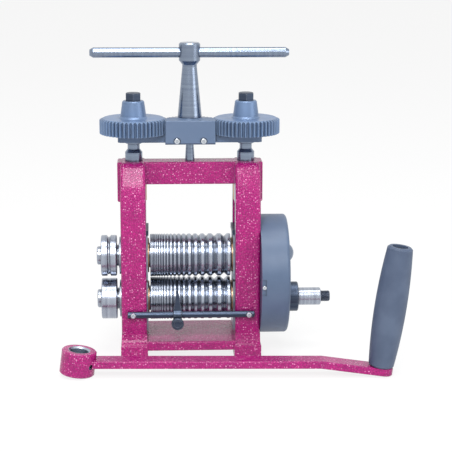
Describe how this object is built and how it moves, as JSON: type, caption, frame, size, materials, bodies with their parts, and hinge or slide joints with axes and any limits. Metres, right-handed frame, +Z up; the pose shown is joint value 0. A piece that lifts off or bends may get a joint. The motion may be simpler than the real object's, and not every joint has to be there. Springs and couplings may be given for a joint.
{
  "type": "jewellers rolling mill",
  "caption": "Bench rolling mill with graded wire-groove rolls, geared T-handle screw-down, reduction gearbox, side rollers and a loose hand crank.",
  "frame": {"origin": "on the bench, midway between the four bench bolt holes in the feet's undersides", "axes": "+X along the rolls towards the input shaft, +Y to the back of the mill, +Z up"},
  "size_m": [0.3777, 0.1902, 0.349],
  "materials": {
    "frame_paint": "magenta hammertone enamel on cast iron",
    "slate_paint": "slate blue-grey satin finish",
    "polished_steel": "bright polished",
    "ground_steel": "hardened, turned and ground",
    "gear_steel": "cut, lightly oiled",
    "bronze": "bearing bronze, turned",
    "black_oxide": "black oxide",
    "bright_screw": "bright zinc",
    "grip_plastic": "slate grey moulded, fine satin grain"
  },
  "bodies": {
    "frame": {"mill_frame": "frame_paint", "base_casting": "frame_paint", "frame_bolts": "black_oxide", "centre_post": "polished_steel", "left_lower_block": "ground_steel", "right_lower_block": "ground_steel", "left_lower_bush": "bronze", "right_lower_bush": "bronze", "left_screw_nut": "bronze", "right_screw_nut": "bronze", "gearbox_back_plate": "slate_paint", "back_plate_screws": "black_oxide", "gearbox_cover": "slate_paint", "cover_screws": "bright_screw", "layshaft_stud": "ground_steel", "dome_nut": "polished_steel", "input_bush": "black_oxide", "guide_bar": "black_oxide", "guide_bar_screws": "bright_screw"},
    "bridge": {"bridge_plate": "slate_paint", "pinion_guard": "slate_paint", "guard_screws": "bright_screw"},
    "handle": {"handle_pinion": "gear_steel", "handle_column": "polished_steel", "tommy_bar": "polished_steel"},
    "left_screw": {"left_adjusting_screw": "polished_steel", "left_screw_gear": "slate_paint", "left_gear_bolt": "black_oxide"},
    "right_screw": {"right_adjusting_screw": "polished_steel", "right_screw_gear": "slate_paint", "right_gear_bolt": "black_oxide"},
    "upper_bearings": {"left_upper_block": "ground_steel", "right_upper_block": "ground_steel", "left_upper_bush": "bronze", "right_upper_bush": "bronze", "left_lift_keeper": "black_oxide", "right_lift_keeper": "black_oxide", "keeper_screws": "black_oxide"},
    "upper_rolls": {"upper_roll": "ground_steel", "upper_roll_gear": "gear_steel", "upper_side_roller": "ground_steel", "upper_side_nut": "ground_steel"},
    "lower_rolls": {"lower_roll": "ground_steel", "lower_roll_gear": "gear_steel", "reduction_gear": "gear_steel", "lower_side_roller": "ground_steel", "lower_side_nut": "ground_steel"},
    "layshaft": {"layshaft_gear": "gear_steel", "layshaft_pinion": "gear_steel", "layshaft_bush": "bronze"},
    "input": {"input_shaft": "ground_steel", "input_pinion": "gear_steel"},
    "wire_guide": {"wire_guide": "black_oxide"},
    "guide_knob": {"wire_guide_knob": "black_oxide"},
    "crank": {"crank_arm": "frame_paint", "crank_set_screw": "black_oxide", "grip_bolt": "black_oxide"},
    "grip": {"crank_grip": "grip_plastic"}
  },
  "joints": [
    {"name": "bridge_lift", "type": "slide", "parent": "frame", "child": "bridge", "axis": [0, 0, 1], "range_m": [-0.00182, 0.00302]},
    {"name": "handle_turn", "type": "hinge", "parent": "bridge", "child": "handle", "pos_m": [0, 0, 0.3], "axis": [0, 0, 1], "range_deg": [-444, 740]},
    {"name": "left_screw_turn", "type": "hinge", "parent": "bridge", "child": "left_screw", "pos_m": [-0.06225, 0, 0.25], "axis": [0, 0, 1], "range_deg": [-540.58, 324.75]},
    {"name": "right_screw_turn", "type": "hinge", "parent": "bridge", "child": "right_screw", "pos_m": [0.06225, 0, 0.25], "axis": [0, 0, 1], "range_deg": [-540.58, 324.75]},
    {"name": "upper_roll_lift", "type": "slide", "parent": "frame", "child": "upper_bearings", "axis": [0, 0, 1], "range_m": [-0.00182, 0.00302]},
    {"name": "upper_roll_spin", "type": "hinge", "parent": "upper_bearings", "child": "upper_rolls", "pos_m": [0, 0, 0.11], "axis": [1, 0, 0], "continuous": true},
    {"name": "lower_roll_spin", "type": "hinge", "parent": "frame", "child": "lower_rolls", "pos_m": [0, 0, 0.06], "axis": [1, 0, 0], "continuous": true},
    {"name": "layshaft_spin", "type": "hinge", "parent": "frame", "child": "layshaft", "pos_m": [0.092, 0.01599, 0.10737], "axis": [1, 0, 0], "continuous": true},
    {"name": "input_spin", "type": "hinge", "parent": "frame", "child": "input", "pos_m": [0.11, 0, 0.06], "axis": [1, 0, 0], "continuous": true},
    {"name": "wire_guide_slide", "type": "slide", "parent": "frame", "child": "wire_guide", "axis": [1, 0, 0], "range_m": [-0.027, 0.057]},
    {"name": "guide_knob_turn", "type": "hinge", "parent": "wire_guide", "child": "guide_knob", "pos_m": [-0.0152, -0.0411, 0.0437], "axis": [0, 1, 0], "range_deg": [-180, 180]},
    {"name": "crank_lift_off", "type": "slide", "parent": "frame", "child": "crank", "axis": [0, 0, 1], "range_m": [0, 0.1]},
    {"name": "grip_spin", "type": "hinge", "parent": "crank", "child": "grip", "pos_m": [0.212, -0.10595, 0.07637], "axis": [0.1304, -0.005, 0.9914], "continuous": true}
  ],
  "couplings": [
    {"joint": "bridge_lift", "follows": "handle_turn", "m_per_rad": 0.0002321},
    {"joint": "upper_roll_lift", "follows": "handle_turn", "m_per_rad": 0.0002321},
    {"joint": "left_screw_turn", "follows": "handle_turn", "ratio": -0.72917},
    {"joint": "right_screw_turn", "follows": "handle_turn", "ratio": -0.72917},
    {"joint": "upper_roll_spin", "follows": "lower_roll_spin", "ratio": -1},
    {"joint": "layshaft_spin", "follows": "lower_roll_spin", "ratio": -1.6316},
    {"joint": "input_spin", "follows": "lower_roll_spin", "ratio": 4.1955}
  ]
}
